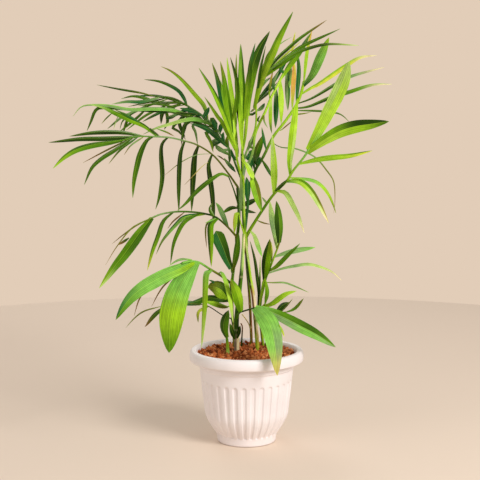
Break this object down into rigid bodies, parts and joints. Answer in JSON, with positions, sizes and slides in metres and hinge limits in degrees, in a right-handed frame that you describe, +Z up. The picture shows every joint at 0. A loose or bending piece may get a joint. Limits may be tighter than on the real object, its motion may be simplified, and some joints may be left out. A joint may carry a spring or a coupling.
{
  "type": "potted areca palm",
  "caption": "Small clump-forming feather palm with arching, gently drooping leaflets, growing in a fluted white plastic nursery pot filled with coarse brown potting mix.",
  "frame": {"origin": "middle of the pot's underside", "axes": "+Z up along the pot's axis; the side that the plant is seen from looks along -Y; +X to its right"},
  "size_m": [0.4574, 0.339, 0.5547],
  "materials": {
    "pot": "moulded white polypropylene, satin, slightly warm",
    "potting_mix": "coarse coir husk and laterite chips, dry and matte",
    "cane": "smooth ringed palm stem, yellow-green with pale nodes",
    "leaf": "ribbed palm leaflets, satin, dark to yellow green with pale and brown tips",
    "yellow_leaf": "ageing leaflet, yellow and satin",
    "dried_stem": "dried shoot, reddish brown and matte"
  },
  "bodies": {
    "root": {"pot": "pot", "potting_mix": "potting_mix", "main_cane": "cane", "left_cane": "cane", "grey_cane": "cane", "back_cane": "cane", "right_cane": "cane", "frond_long_left": "leaf", "leaf_left_curved": "leaf", "frond_upper_left": "leaf", "frond_top_left": "leaf", "frond_top_middle": "leaf", "frond_top_right": "leaf", "frond_right_hanging": "leaf", "frond_right_tall": "leaf", "frond_right_bright": "leaf", "frond_left_arching": "leaf", "frond_lower_left": "leaf", "frond_low_left": "leaf", "leaf_pair_mid_left": "leaf", "leaf_broad_base": "leaf", "leaf_olive_left": "leaf", "leaf_low_folded": "leaf", "frond_small_right": "leaf", "leaf_dark_upright": "leaf", "leaves_right_sheath": "leaf", "leaf_pair_low_right": "leaf", "leaves_right_cluster": "leaf", "leaf_front_folded": "leaf", "leaf_behind_canes": "leaf", "leaf_yellow": "yellow_leaf", "spoon_shoot": "leaf", "dried_stalk": "dried_stem", "thin_shoot": "dried_stem"}
  },
  "joints": []
}
